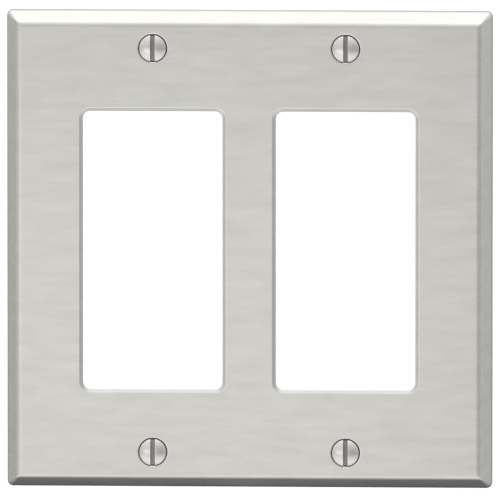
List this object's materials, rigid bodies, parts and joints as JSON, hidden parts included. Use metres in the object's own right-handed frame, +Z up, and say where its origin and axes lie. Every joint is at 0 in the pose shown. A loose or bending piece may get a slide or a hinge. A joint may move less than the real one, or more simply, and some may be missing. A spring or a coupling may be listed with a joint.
{
  "type": "wall plate cover",
  "caption": "Brushed stainless steel wall plate for a pair of rocker-style devices, with slotted oval-head fixing screws.",
  "frame": {"origin": "centre of the plate's outline on the wall's surface, which is the plane of its rim", "axes": "+X along the plate's width to the viewer's right, +Y into the wall, +Z up; the brushed face looks along -Y"},
  "size_m": [0.1158, 0.0139, 0.1142],
  "materials": {
    "brushed_plate": "fine horizontal brushed satin, polished border",
    "screw_steel": "bright turned heads"
  },
  "bodies": {
    "plate": {"wall_plate": "brushed_plate"},
    "screw_top_left": {"screw_top_left": "screw_steel"},
    "screw_top_right": {"screw_top_right": "screw_steel"},
    "screw_bottom_left": {"screw_bottom_left": "screw_steel"},
    "screw_bottom_right": {"screw_bottom_right": "screw_steel"}
  },
  "joints": [
    {"name": "top_left_screw_out", "type": "slide", "parent": "plate", "child": "screw_top_left", "axis": [0, -1, 0], "range_m": [0, 0.016]},
    {"name": "top_right_screw_out", "type": "slide", "parent": "plate", "child": "screw_top_right", "axis": [0, -1, 0], "range_m": [0, 0.016]},
    {"name": "bottom_left_screw_out", "type": "slide", "parent": "plate", "child": "screw_bottom_left", "axis": [0, -1, 0], "range_m": [0, 0.016]},
    {"name": "bottom_right_screw_out", "type": "slide", "parent": "plate", "child": "screw_bottom_right", "axis": [0, -1, 0], "range_m": [0, 0.016]}
  ]
}
